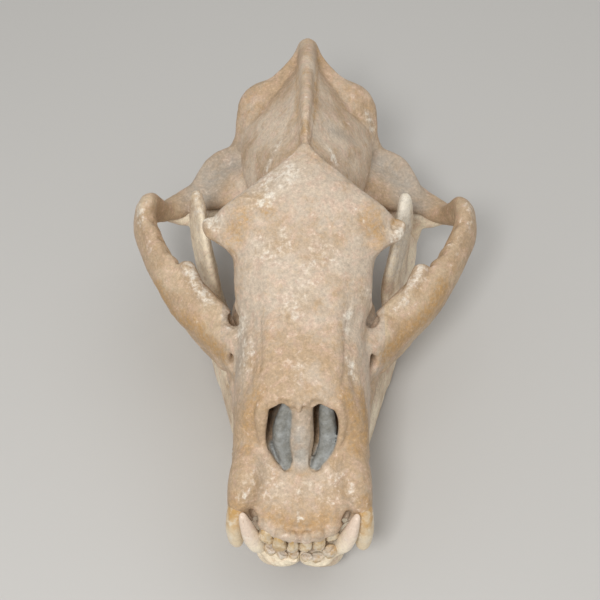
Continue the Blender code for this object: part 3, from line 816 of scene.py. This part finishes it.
def all_teeth():
    made = []
    for side in BOTH:
        hand = SIDE_NAMES[side]
        chip = CHIP if side == RIGHT else 0
        rings = [(x, s, z + chip * (z < CANINE_TIP), *widths) for x, s, z, *widths in UPPER_CANINE]
        made.append(canine("upper_canine_" + hand, rings, side, 21))
        made.append(canine("lower_canine_" + hand, LOWER_CANINE, side, 31 + side))
        for jaw, row, gum, seed in INCISOR_ROWS:
            for i, (x, s, breadth, turn, bite) in enumerate(row):
                name = "%s_incisor_%d_%s" % (jaw, i + 1, hand)
                made.append(incisor(name, x, s, breadth, turn, side, gum, bite, seed + 3 * i + side))
        for jaw, row, gum, bite, seed in CHEEK_ROWS:
            for i, (x, s, length, breadth, turn) in enumerate(row):
                name = "%s_cheek_tooth_%d_%s" % (jaw, i + 1, hand)
                made.append(cheek_tooth(name, x, s, length, breadth, turn, side, gum, bite, seed + i))
    return made


whole_cranium = cranium()
work_cranium(whole_cranium)
within_solids(whole_cranium, CAD_LOW, CAD_HIGH)
bones = bones_of(whole_cranium)
for side in BOTH:
    bones["jaw_bone_" + SIDE_NAMES[side]] = half_jaw(side)
teeth = all_teeth()

# The solid that each bone stands for, and its slot
BONES = {"snout_bone": ("snout", "face_bone"), "forehead_bone": ("forehead", "face_bone"),
         "braincase_bone": ("braincase", "crown_bone"), "occiput_bone": ("occiput", "crown_bone")}
for hand in SIDE_NAMES.values():
    BONES["arch_bone_" + hand] = ("zygomatic_arch_" + hand, "arch_bone")
    BONES["jaw_bone_" + hand] = ("mandible_" + hand, "jaw_bone")

# Marks of colour, among them painted light and painted shade: how far each of them reaches, how strong
# it is, and its course

CHALK_AND_PAINTED_LIGHT = (
    (15, 0.75, ((-43, 141, 141), (-45, 150, 134))), (13, 0.6, ((-39, 120, 143), (-40, 108, 138))),
    (8, 0.7, ((33, 140, 159), (33, 128, 156))), (7, 0.8, ((35, 106, 147), (36, 98, 142))),
    (8, 0.4, ((-36, 30, 112), (-38, 24, 104))), (7, 0.4, ((34, 30, 110), (36, 24, 103))),
    (2.0, 0.9, ((-1, 19, 92), (-1, 14, 88))), (1.8, 0.9, ((-5, 16, 89), (3, 16, 89))),
    (10, 0.9, ((-68, 208, 176), (-62, 205, 178))), (9, 0.8, ((70, 203, 173), (62, 199, 174))),
    (9, 0.6, ((-30, 272, 170), (-20, 284, 184))), (8, 0.6, ((14, 276, 192), (24, 270, 182))),
    (8, 0.5, ((-22, 234, 200), (-34, 226, 194))), (6, 0.6, ((-16, 186, 192), (-12, 176, 188))),
    (7, 0.5, ((8, 168, 184), (2, 160, 181))), (9, 0.6, ((44, 170, 150), (42, 156, 158))),
    (9, 0.5, ((-50, 150, 140), (-55, 160, 130))), (7, 0.7, ((50, 355, 150), (54, 352, 136))),
    (7, 0.7, ((-50, 360, 140), (-54, 355, 128))), (8, 0.7, ((-132, 258, 140), (-130, 240, 138))),
    (8, 0.5, ((130, 262, 140), (126, 244, 136))), (6, 0.6, ((118, 232, 134), (112, 220, 130))),
    (7, 0.5, ((-118, 226, 128), (-108, 210, 124))), (6, 0.5, ((0, 30, 100), (6, 36, 102))),
    (3.5, 1.0, ((-4, 3, 54), (3, 2, 50))), (4, 0.9, ((12, 5, 56), (9, 4, 50))),
    (9, 0.7, ((-88, 202, 137), (-80, 187, 132), (-70, 170, 128))),
    # Painted light: these two marks lighten the coronoid processes, where the brow shades them.
    (19, 1.3, ((76, 254, 148), (74, 242, 128), (71, 230, 108))),
    (15, 0.6, ((-82, 254, 148), (-80, 242, 128), (-77, 230, 108))),
    (16, 0.7, ((-8, 232, 203), (-20, 222, 200), (-30, 214, 198))),
    (14, 0.5, ((-30, 178, 184), (-18, 172, 184))),
    (14, 0.4, ((10, 176, 186), (22, 168, 180))), (14, 0.5, ((0, 150, 172), (-6, 134, 165))),
    (12, 0.4, ((0, 96, 156), (0, 80, 150))), (14, 0.35, ((-24, 40, 106), (-18, 30, 100))),
    (14, 0.35, ((24, 42, 106), (19, 30, 100))),
    (9, 0.5, ((88, 202, 137), (80, 187, 132), (70, 170, 128))),
)
STAIN = (
    (10, 0.9, ((42, 88, 131), (44, 78, 120), (45, 68, 112))),
    (9, 0.8, ((30, 80, 146), (38, 70, 132), (38, 56, 118))),
    (9, 0.7, ((-30, 80, 146), (-38, 70, 132), (-38, 56, 118))),
    (12, 0.7, ((-50, 190, 181), (-44, 200, 190))), (13, 0.6, ((52, 190, 181), (48, 206, 190))),
    (8, 0.8, ((-32, 212, 196), (-26, 200, 196))), (3.5, 1.0, ((67, 211, 177), (63, 207, 180))),
    (9, 0.6, ((20, 18, 90), (8, 14, 87), (-8, 14, 87), (-20, 18, 90))),
    (8, 0.7, ((-106, 206, 104), (-118, 228, 112), (-126, 250, 120))),
    (12, 0.95, ((60, 136, 113), (73, 150, 112), (82, 162, 114), (92, 174, 113), (104, 192, 121))),
    (12, 0.9, ((-61, 136, 113), (-73, 150, 110), (-81, 161, 113), (-98, 178, 104), (-111, 196, 112))),
    (9, 0.6, ((104, 206, 122), (112, 220, 126), (118, 236, 130))),
    (8, 0.5, ((-104, 206, 122), (-112, 220, 126))),
    (5, 0.6, ((7, 290, 202), (8, 320, 198), (9, 350, 193), (9, 378, 186))),
    (5, 0.5, ((-6, 290, 202), (-8, 330, 197), (-9, 370, 188))),
    (5, 0.5, ((0, 272, 207), (0, 300, 204), (0, 340, 198), (0, 380, 190))),
    (7, 0.6, ((66, 212, 172), (50, 224, 178), (34, 236, 188))),
    (6, 0.4, ((-66, 212, 172), (-50, 224, 178), (-34, 236, 188))),
    (9, 0.5, ((0, 398, 192), (10, 392, 178))),
)
STAIN_BOTH = (
    (9, 1.0, ((62, 158, 99), (78, 172, 98), (92, 188, 99), (106, 206, 104))),
    (8, 0.7, ((43, 24, 100), (44, 22, 88))), (8, 0.6, ((26, 80, 120), (28, 66, 110))),
    (10, 0.6, ((40, 120, 84), (46, 150, 84), (46, 180, 84))),
    (12, 0.6, ((30, 70, 8), (44, 120, 4), (58, 170, 6), (74, 230, 6))),
    (8, 0.7, ((30, 80, 56), (42, 120, 56), (50, 170, 58))),
)
# Cool grey marks. Those on the lower coronoid processes, and the ones behind the arches on both sides,
# are painted shade.
COOL_GREY_AND_SHADE = (
    (13, 0.5, ((74, 246, 92), (74, 238, 84), (74, 226, 66))),
    (13, 0.7, ((-78, 246, 104), (-77, 238, 84), (-74, 226, 66))),
    (11, 0.5, ((-42, 130, 138), (-44, 112, 126))), (9, 0.5, ((20, 300, 184), (34, 308, 162))),
    (11, 1.0, ((0, 72, 132), (0, 60, 122), (0, 50, 110))),
)
SHADE_GREY_BOTH = ((22, 0.8, ((64, 334, 112), (82, 318, 108), (88, 300, 106))),)

# Where bone is tan: how tan, and limits in which it sets in along an axis
ASIDE, BACK, UP = range(3)
TAN_CROWN = (0.2, ((BACK, 236, 262), (UP, 84, 110)))
TAN_CREST_SIDE = (0.5, ((BACK, 330, 360), (ASIDE, 4, 14)))
TAN_SHELF = (0.6, ((ASIDE, 52, 66), (BACK, 262, 276)))
TAN_ARCH_ROOT = (0.65, ((ASIDE, 56, 70), (BACK, 262, 240)))
TAN_NOSE = (0.8, ((BACK, 130, 60), (UP, 78, 90)))
TAN_UNDER = 0.6

# The floor of the nose: the slope and place at which its painted shade ends, and over how much
NOSE_FLOOR = (0.62, 124, 58)
NOSE_FLOOR_EDGE = (-1, 2.5)
SCROLL_WIDENING = 1.9


def painted(stations, marks, marks_of_both=()):
    """The strongest mark at each vertex."""
    rows = [*marks]
    for side in BOTH:
        rows += [(reach, strength, mirrored(points, side)) for reach, strength, points in marks_of_both]
    made = np.zeros(len(stations))
    for reach, strength, points in rows:
        made = np.maximum(made, near(stations, course(points), reach) ** 0.6 * strength)
    return made


def zone(stations, strength, limits):
    """A region of the skull that sets in between limits along axes. Both sides have it."""
    for axis, low, high in limits:
        strength = strength * smooth_step(np.abs(stations[:, axis]), low, high)
    return strength


def tan_of(piece, stations):
    under = TAN_UNDER * smooth_step(-normals_of(piece)[:, UP], 0.1, 0.8)
    if piece.name.startswith("jaw"):
        return under
    strength, limits = TAN_CROWN
    crown = zone(stations, strength + zone(stations, *TAN_CREST_SIDE), limits)
    return crown + under + sum(zone(stations, *row) for row in (TAN_SHELF, TAN_ARCH_ROOT, TAN_NOSE))


# Where the inside of the nose is painted dark grey for its shade.
def nose_shade_of(stations):
    scrolls = np.zeros(len(stations))
    for points in NOSE_SCROLLS:
        wide = [(x, s, z, radius * SCROLL_WIDENING) for x, s, z, radius in points]
        scrolls = np.maximum(scrolls, near(stations, course(wide), 1))
    slope, level, front = NOSE_FLOOR
    behind = stations[:, BACK] - slope * (stations[:, UP] - level) - front
    return smooth_step(scrolls * smooth_step(behind, *NOSE_FLOOR_EDGE), 0.02, 0.3)


def paint(piece):
    """Stores where a bone is chalky, stained, cool grey, tan, or painted in shade inside the nose. Some
    chalk marks are painted light, and some cool marks are painted shade.
    """
    at = stations_of(piece)
    keep_mask(piece, "chalk", painted(at, CHALK_AND_PAINTED_LIGHT))
    keep_mask(piece, "stain", painted(at, STAIN, STAIN_BOTH))
    keep_mask(piece, "cool", painted(at, COOL_GREY_AND_SHADE, SHADE_GREY_BOTH))
    keep_mask(piece, "tan", np.clip(tan_of(piece, at), 0, 1))
    keep_mask(piece, "inner", nose_shade_of(at))


def srgb(red, green, blue):
    """A colour as a screen shows it, 0 to 255, for a shader."""
    parts = [v / 255 for v in (red, green, blue)]
    return tuple(v / 12.92 if v <= 0.04045 else ((v + 0.055) / 1.055) ** 2.4 for v in parts) + (1.0,)


# Shader groups

def new_group(name, inputs, outputs):
    """A group that takes a place, then colours and numbers, and its input and output nodes."""
    group = bpy.data.node_groups.new(name, "ShaderNodeTree")

    def socket(label, way, kind):
        return group.interface.new_socket(name=label, in_out=way, socket_type="NodeSocket" + kind)

    socket("Place", "INPUT", "Vector")
    for label, value in inputs.items():
        socket(label, "INPUT", "Float" if isinstance(value, float) else "Color").default_value = value
    for label in outputs:
        socket(label, "OUTPUT", "Color" if label == "Colour" else "Float")
    return group, group.nodes.new("NodeGroupInput"), group.nodes.new("NodeGroupOutput")


def feed(tree, node, values):
    """Gives a node its input values: numbers, or sockets to be wired in."""
    for name, value in values.items():
        if isinstance(value, bpy.types.NodeSocket):
            tree.links.new(value, node.inputs[name])
        else:
            node.inputs[name].default_value = value


def add(tree, kind, values=None, **settings):
    """Adds a node. Its values are what feed takes."""
    made = tree.nodes.new("ShaderNode" + kind)
    for name, value in settings.items():
        setattr(made, name, value)
    feed(tree, made, values or {})
    return made


def maths(tree, way, a, b=0.0, clamp=False):
    return add(tree, "Math", {0: a, 1: b}, operation=way, use_clamp=clamp).outputs[0]


def plus(tree, total, *others, clamp=False):
    for i, value in enumerate(others, 1):
        total = maths(tree, "ADD", total, value, clamp and i == len(others))
    return total


def times(tree, a, b, clamp=False):
    return maths(tree, "MULTIPLY", a, b, clamp)


def ranged(tree, value, low, high, bottom=0.0, top=1.0):
    return add(tree, "MapRange", {"Value": value, "From Min": low, "From Max": high,
                                  "To Min": bottom, "To Max": top}).outputs["Result"]


def mixed(tree, share, a, b, way="MIX"):
    made = add(tree, "Mix", {0: share, 6: a, 7: b}, data_type="RGBA", blend_type=way)
    return made.outputs[2]


def shaded(tree, colour, shade):
    tint = add(tree, "CombineColor", {0: shade, 1: shade, 2: shade}).outputs[0]
    return mixed(tree, 1.0, colour, tint, "MULTIPLY")


def noise(tree, spot, scale, detail=3.0, roughness=0.55, distortion=0.0):
    return add(tree, "TexNoise", {"Vector": spot, "Scale": scale, "Detail": detail,
                                  "Roughness": roughness, "Distortion": distortion}).outputs["Fac"]


SHARES = ("Tan", "Stain", "Chalk", "Cool", "Inner")  # the masks that mix the colours of bone


def bone_colour_group():
    # Inner is the dark grey of painted shade inside the nose, and Cool is partly painted shade.
    inputs = {"Cream": srgb(202, 185, 165), "Tan": srgb(186, 160, 130), "Stain": srgb(184, 146, 97),
              "Chalk": srgb(229, 221, 206), "Cool": srgb(178, 172, 162), "Inner": srgb(124, 122, 114),
              "Hollow": 0.0, "Contrast": 1.0, **{mask + " Share": 0.0 for mask in SHARES}}
    group, given, put = new_group("Bone colour", inputs, ("Colour", "Chalkiness"))
    spot, cream, tan, stain, chalk, cool, inner, hollow, contrast, *shares = given.outputs
    tan_share, stain_share, chalk_and_light_share, cool_and_shade_share, nose_shade_share = shares[:len(SHARES)]
    broad = noise(group, spot, 26, 2, 0.5)
    cloud = noise(group, spot, 85, 4, 0.6, 0.6)
    other = noise(group, spot, 130, 4, 0.62, 0.4)
    mottle = noise(group, spot, 270, 4, 0.65, 0.3)
    fleck = noise(group, spot, 420, 3, 0.65)
    grit = noise(group, spot, 900, 2, 0.6)
    share = plus(group, tan_share, ranged(group, broad, 0.36, 0.68, -0.3, 0.75),
                 ranged(group, cloud, 0.4, 0.66, -0.15, 0.3),
                 times(group, ranged(group, mottle, 0.38, 0.64, -0.16, 0.3), contrast), clamp=True)
    colour = mixed(group, share, cream, tan)
    pink = times(group, ranged(group, other, 0.48, 0.66), 0.45)
    colour = mixed(group, pink, colour, srgb(216, 180, 158))
    share = plus(group, times(group, stain_share, ranged(group, mottle, 0.36, 0.6, 0.35, 1.15)),
                 ranged(group, hollow, 0.08, 0.9, 0.0, 0.5),
                 times(group, ranged(group, mottle, 0.54, 0.72, 0.0, 0.3), contrast),
                 ranged(group, cloud, 0.56, 0.74, 0.0, 0.3), clamp=True)
    colour = mixed(group, share, colour, stain)
    # Cool grey, partly painted shade.
    share = times(group, cool_and_shade_share, ranged(group, cloud, 0.35, 0.6, 0.5, 1.0), True)
    colour = mixed(group, share, colour, cool)
    # Chalk marks, among them the painted light on the coronoid processes.
    share = plus(group, chalk_and_light_share, ranged(group, mottle, 0.3, 0.7, -0.55, 0.55),
                 ranged(group, other, 0.35, 0.65, -0.25, 0.25))
    colour = mixed(group, times(group, ranged(group, share, 0.25, 1.2), 0.6), colour, chalk)
    share = plus(group, times(group, chalk_and_light_share, 0.3), ranged(group, mottle, 0.3, 0.7, -0.12, 0.12),
                 ranged(group, hollow, -0.5, -0.08, 0.14, 0.0), other)
    flakes = times(group, ranged(group, share, 0.69, 0.86), 0.78)
    specks = times(group, ranged(group, fleck, 0.62, 0.76), 0.3)
    chalkiness = maths(group, "MAXIMUM", flakes, specks)
    colour = mixed(group, chalkiness, colour, chalk)
    # Painted shade: the inside of the nose turns dark grey.
    nose_shade_greys = mixed(group, ranged(group, cloud, 0.35, 0.65), inner, srgb(156, 158, 156))
    colour = mixed(group, nose_shade_share, colour, nose_shade_greys)
    low = maths(group, "SUBTRACT", 1.0, times(group, contrast, 0.16))
    # Random tone, and painted shade from the hollow mask, which darkens bone in its hollows.
    shade = ranged(group, fleck, 0.32, 0.6, 0.84, 1.04)
    for tone in (ranged(group, grit, 0.3, 0.7, 0.91, 1.07), ranged(group, mottle, 0.3, 0.62, low, 1.07),
                 ranged(group, hollow, 0.15, 1.3, 1.0, 0.6)):
        shade = times(group, shade, tone)
    colour = shaded(group, colour, shade)
    feed(group, put, {"Colour": colour, "Chalkiness": chalkiness})
    return group


def bone_grain_group():
    group, given, put = new_group("Bone grain", {"Pitting": 1.0, "Streaks": 0.0}, ("Height",))
    spot, pitting, flow = given.outputs[:3]
    cells = add(group, "TexVoronoi", {"Vector": spot, "Scale": 430.0, "Randomness": 1.0})
    pits = ranged(group, cells.outputs["Distance"], 0.0, 0.32, -1.0, 0.0)
    where = ranged(group, noise(group, spot, 95, 3, 0.6), 0.45, 0.6)
    pits = times(group, pits, times(group, where, pitting))
    lines = add(group, "Mapping", {"Vector": spot, "Rotation": (math.radians(-32), 0, 0),
                                   "Scale": (60, 420, 45)}).outputs[0]
    height = plus(group, times(group, noise(group, spot, 260, 4, 0.62), 1.6),
                  times(group, noise(group, spot, 900, 2, 0.6), 0.5), times(group, pits, 0.7),
                  times(group, noise(group, lines, 1.0, 3, 0.6, 0.8), flow))
    feed(group, put, {"Height": height})
    return group


def tooth_colour_group():
    inputs = {"Neck": srgb(196, 156, 98), "Crown": srgb(222, 204, 174), "Tip": srgb(208, 192, 176),
              "Rise": 0.5, "Shift": 0.0, "Grime": 0.0}
    group, given, put = new_group("Tooth colour", inputs, ("Colour", "Height"))
    spot, neck, crown, tip, level, shift, dirt = given.outputs[:7]
    cloud = noise(group, spot, 120, 4, 0.6, 0.5)
    fine = noise(group, spot, 480, 3, 0.6)
    lines = add(group, "Mapping", {"Vector": spot, "Scale": (900, 900, 70)}).outputs[0]
    cracks = noise(group, lines, 1.0, 2, 0.5)
    patchy = noise(group, spot, 150, 3, 0.6)
    rise = plus(group, level, ranged(group, cloud, 0.3, 0.7, -0.22, 0.22), shift)
    colour = mixed(group, ranged(group, rise, 0.12, 0.5), neck, crown)
    colour = mixed(group, ranged(group, rise, 0.72, 1.05), colour, tip)
    brown = times(group, ranged(group, patchy, 0.45, 0.6), dirt)
    grey = times(group, ranged(group, patchy, 0.46, 0.34), dirt)
    for share, strength, tone in ((ranged(group, cloud, 0.52, 0.7), 0.6, srgb(238, 230, 214)),
                                  (ranged(group, cracks, 0.66, 0.74), 0.5, srgb(150, 116, 76)),
                                  (brown, 0.7, srgb(184, 150, 98)), (grey, 0.6, srgb(190, 180, 162))):
        colour = mixed(group, times(group, share, strength), colour, tone)
    colour = shaded(group, colour, ranged(group, fine, 0.3, 0.65, 0.9, 1.03))
    height = plus(group, times(group, fine, 0.7), times(group, cracks, 0.8))
    feed(group, put, {"Colour": colour, "Height": height})
    return group


BONE_COLOUR = bone_colour_group()
BONE_GRAIN = bone_grain_group()
TOOTH_COLOUR = tooth_colour_group()


def coat(piece, finish):
    piece.data.materials.clear()
    piece.data.materials.append(finish)


def bare(name):
    """A material with its shader and the piece's own coordinates."""
    material = bpy.data.materials.new(name)
    material.use_nodes = True
    tree = material.node_tree
    shader = tree.nodes["Principled BSDF"]
    return material, tree, shader, tree.nodes.new("ShaderNodeTexCoord").outputs["Object"]


def mask_socket(tree, name):
    return add(tree, "Attribute", attribute_name=name).outputs["Fac"]


def bumps(tree, height, strength, depth):
    """Normals from a height. The depth of the bumps is in metres."""
    made = add(tree, "Bump", {"Height": height, "Strength": strength, "Distance": depth})
    return made.outputs["Normal"]


def bone_finish(name, streaks, pitting, specular, contrast=1.0, **colours):
    material, tree, shader, spot = bare(name)
    masks = {mask + " Share": mask_socket(tree, mask.lower()) for mask in SHARES}
    masks["Hollow"] = mask_socket(tree, "hollow")
    colour = add(tree, "Group", {"Place": spot, "Contrast": contrast, **masks, **colours},
                 node_tree=BONE_COLOUR).outputs
    grain = add(tree, "Group", {"Place": spot, "Pitting": pitting, "Streaks": streaks},
                node_tree=BONE_GRAIN)
    roughness = ranged(tree, colour["Chalkiness"], 0.0, 1.0, 0.56, 0.82)
    feed(tree, shader, {"Base Color": colour["Colour"], "Roughness": roughness,
                        "Specular IOR Level": specular,
                        "Normal": bumps(tree, grain.outputs["Height"], 0.8, 0.0005)})
    return material


def tooth_finish(name, shift, roughness, grime=0.0, **colours):
    material, tree, shader, spot = bare(name)
    colour = add(tree, "Group", {"Place": spot, "Rise": mask_socket(tree, "rise"), "Shift": shift,
                                 "Grime": grime, **colours}, node_tree=TOOTH_COLOUR).outputs
    feed(tree, shader, {"Base Color": colour["Colour"], "Roughness": roughness,
                        "Normal": bumps(tree, colour["Height"], 0.6, 0.0004)})
    return material


FINISHES = {
    "face_bone": bone_finish("face bone", 0.15, 1.0, 0.4, 0.7),
    "crown_bone": bone_finish("crown bone", 0.6, 0.5, 0.4, 0.8, Cream=srgb(216, 198, 176)),
    "arch_bone": bone_finish("arch bone", 0.2, 0.6, 0.45, 0.75, Cream=srgb(214, 193, 163)),
    "jaw_bone": bone_finish("jaw bone", 0.3, 0.6, 0.45, 0.4, Cream=srgb(242, 228, 202)),
}
UPPER_TOOTH = tooth_finish("upper tooth enamel", -0.12, 0.42)
LOWER_TOOTH = tooth_finish("lower tooth enamel", 0.3, 0.38, Crown=srgb(246, 232, 208),
                           Tip=srgb(226, 205, 186))
FRONT_TOOTH = tooth_finish("worn front tooth", 0.05, 0.46, 1.0, Neck=srgb(198, 164, 108))


def rise_of(piece):
    """Stores how far each vertex stands from a tooth's root, 0, to its tip, 1."""
    levels = stations_of(piece)[:, 2]
    rise = (levels - levels.min()) / (levels.max() - levels.min())
    keep_mask(piece, "rise", 1 - rise if piece.name.startswith("upper") else rise)


for name, piece in bones.items():
    only(piece)
    bpy.ops.object.shade_smooth_by_angle(angle=math.radians(60))
    node, slot = BONES[name]
    coat(piece, FINISHES[slot])
    paint(piece)
    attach(piece, "root")
    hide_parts(node)
for piece in teeth:
    within_solids(piece, CAD_LOW, CAD_HIGH)
    only(piece)
    bpy.ops.object.shade_smooth()
    rise_of(piece)
    lower = piece.name.startswith("lower")
    finish = FRONT_TOOTH if "incisor" in piece.name else LOWER_TOOTH if lower else UPPER_TOOTH
    coat(piece, finish)
    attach(piece, "root")

# Floor, light and camera, in metres

FLOOR_WIDTH = 6
FLOOR_GREY = (0.55, 0.54, 0.52, 1)
ROOM_WHITE = (1, 0.99, 0.97, 1)
ROOM_LIGHT = 0.55
AIM = place(0, 178, 0)  # the camera swings about this point
CAMERA_AT = Vector((0, -0.53435, 0.771))
YAW = math.radians(0.9)
TILT = math.radians(38.2)

deselect()
bpy.ops.mesh.primitive_plane_add(size=FLOOR_WIDTH, location=(0, 0, 0))
floor = bpy.context.object
floor.name = "floor"
floor_finish, tree, shader, _ = bare("pale floor")
feed(tree, shader, {"Base Color": FLOOR_GREY, "Roughness": 0.8})
coat(floor, floor_finish)


def area_light(name, at, toward, size, power):
    data = bpy.data.lights.new(name, "AREA")
    data.size = size
    data.energy = power
    lamp = put_in(name, data)
    lamp.location = at
    lamp.rotation_euler = (Vector(toward) - Vector(at)).to_track_quat("-Z", "Y").to_euler()


area_light("key light", (-0.22, -0.85, 1.20), (0, 0.02, 0.1), size=0.30, power=10.4)
area_light("fill light", (0.4, 0.3, 1.7), (0, 0, 0.1), size=1.2, power=4)
world = bpy.data.worlds.new("soft room")
bpy.context.scene.world = world
world.use_nodes = True
room = world.node_tree.nodes["Background"]
feed(world.node_tree, room, {"Color": ROOM_WHITE, "Strength": ROOM_LIGHT})

lens = bpy.data.cameras.new("camera")
lens.lens = 66
lens.sensor_width = 36
lens.shift_x = -3.5 / 600
camera = put_in("camera", lens)
camera.location = AIM + Matrix.Rotation(YAW, 3, "Z") @ (CAMERA_AT - AIM)
camera.rotation_euler = (TILT, 0, YAW)
bpy.context.scene.camera = camera
bpy.context.scene.view_settings.view_transform = "Standard"
